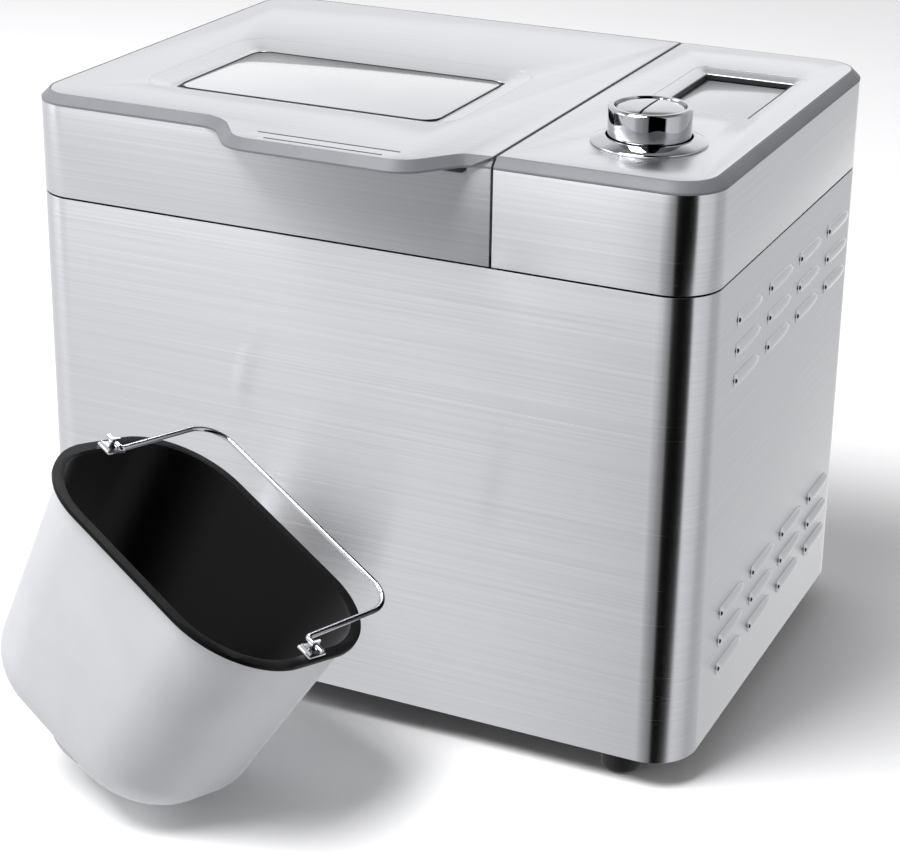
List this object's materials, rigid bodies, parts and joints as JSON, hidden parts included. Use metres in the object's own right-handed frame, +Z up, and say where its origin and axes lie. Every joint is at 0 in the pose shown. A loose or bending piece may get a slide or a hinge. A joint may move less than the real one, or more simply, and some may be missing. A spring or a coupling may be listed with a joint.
{
  "type": "bread machine",
  "caption": "Countertop bread machine: steel box body, hinged lid with glass window and front tongue, control turret with dial and display, and a tipped lift-out pan with bail handle.",
  "frame": {"origin": "on the floor under the middle of the casing, where its four feet stand", "axes": "+Z up, +Y to the hinge side at the back, +X to the right side with the controls"},
  "size_m": [0.3432, 0.3937, 0.3062],
  "materials": {
    "brushed_steel": "fine horizontal brushing",
    "brushed_top": "fine brushing, satin",
    "grey_trim": "satin grey",
    "black_plastic": "fine grain",
    "dark_plastic": "matte",
    "foot_rubber": "matte",
    "belt_rubber": "matte",
    "plated_steel": "zinc plated",
    "oven_steel": "plain sheet",
    "heater_sheath": "oxidised",
    "ceramic": "unglazed ceramic",
    "galvanised_steel": "galvanised",
    "bronze": "sintered",
    "cast_alloy": "die cast",
    "circuit_board": "solder mask",
    "clear_window": "tinted, polished",
    "lcd_panel": "display film",
    "chrome": "mirror",
    "silicone_seal": "silicone",
    "pan_aluminium": "matte outside, black non-stick inside",
    "nonstick": "non-stick coating"
  },
  "bodies": {
    "machine": {"body_wrap": "brushed_steel", "turret_skirt": "brushed_steel", "control_plate": "brushed_top", "turret_frame": "grey_trim", "rear_panel": "black_plastic", "rear_screws": "plated_steel", "cord_gland": "black_plastic", "base_tray": "black_plastic", "rubber_feet": "foot_rubber", "foot_screws": "plated_steel", "top_deck": "dark_plastic", "baking_chamber": "oven_steel", "heating_element": "heater_sheath", "heater_clips": "oven_steel", "heater_bushes": "ceramic", "temperature_probe": "ceramic", "drive_bracket": "galvanised_steel", "shaft_bush": "bronze", "pan_socket": "cast_alloy", "motor_can": "galvanised_steel", "motor_mounts": "foot_rubber", "drive_belt": "belt_rubber", "mains_board": "circuit_board", "heat_shield": "oven_steel", "screen_bezel": "black_plastic", "screen_window": "clear_window", "display_module": "lcd_panel", "control_board": "circuit_board", "board_posts": "dark_plastic", "dial_bezel": "chrome", "dial_core": "black_plastic", "hinge_brackets": "plated_steel"},
    "lid": {"lid_skirt": "brushed_steel", "lid_frame": "grey_trim", "lid_plate": "brushed_top", "window_pane": "clear_window", "window_frame": "dark_plastic", "window_inner": "clear_window", "lid_liner": "oven_steel", "lid_seal": "silicone_seal", "hinge_leaves": "plated_steel", "hinge_pins": "plated_steel"},
    "dial": {"dial_ring": "chrome"},
    "power_key": {"power_button": "chrome"},
    "start_key": {"start_button": "chrome"},
    "motor_rotor": {"motor_shaft": "plated_steel", "motor_pulley": "dark_plastic"},
    "drive": {"drive_shaft": "plated_steel", "drive_coupler": "cast_alloy", "drive_pulley": "dark_plastic"},
    "pan": {"pan_shell": "pan_aluminium", "pan_foot": "plated_steel", "pan_bush": "bronze", "handle_clips": "plated_steel"},
    "bail": {"bail_handle": "chrome"},
    "paddle": {"kneading_paddle": "nonstick", "paddle_shaft": "plated_steel", "pan_coupling": "cast_alloy"}
  },
  "joints": [
    {"name": "lid_hinge", "type": "hinge", "parent": "machine", "child": "lid", "pos_m": [0, 0.12575, 0.2394], "axis": [-1, 0, 0], "range_deg": [0, 95]},
    {"name": "dial_spin", "type": "hinge", "parent": "machine", "child": "dial", "pos_m": [0.1215, -0.066, 0.29], "axis": [0, 0, 1], "continuous": true},
    {"name": "power_press", "type": "slide", "parent": "machine", "child": "power_key", "axis": [0, 0, -1], "range_m": [0, 0.001], "stiffness_N_per_m": 600, "springref_m": -0.0005},
    {"name": "start_press", "type": "slide", "parent": "machine", "child": "start_key", "axis": [0, 0, -1], "range_m": [0, 0.001], "stiffness_N_per_m": 600, "springref_m": -0.0005},
    {"name": "drive_spin", "type": "hinge", "parent": "machine", "child": "drive", "pos_m": [-0.0495, -0.006, 0.03], "axis": [0, 0, 1], "continuous": true},
    {"name": "motor_spin", "type": "hinge", "parent": "machine", "child": "motor_rotor", "pos_m": [0.118, 0.012, 0.03], "axis": [0, 0, 1], "continuous": true},
    {"name": "pan_lift", "type": "slide", "parent": "machine", "child": "pan", "axis": [0, -0.6, 0.8], "range_m": [0, 0.25]},
    {"name": "bail_hinge", "type": "hinge", "parent": "pan", "child": "bail", "pos_m": [-0.0254, -0.20009, 0.1216], "axis": [0.8762, -0.2602, -0.4057], "range_deg": [0, 166]},
    {"name": "paddle_spin", "type": "hinge", "parent": "pan", "child": "paddle", "pos_m": [-0.06706, -0.21076, 0.03846], "axis": [0.4451, 0.114, 0.8882], "continuous": true}
  ],
  "couplings": [
    {"joint": "motor_spin", "follows": "drive_spin", "ratio": 4.2222}
  ]
}
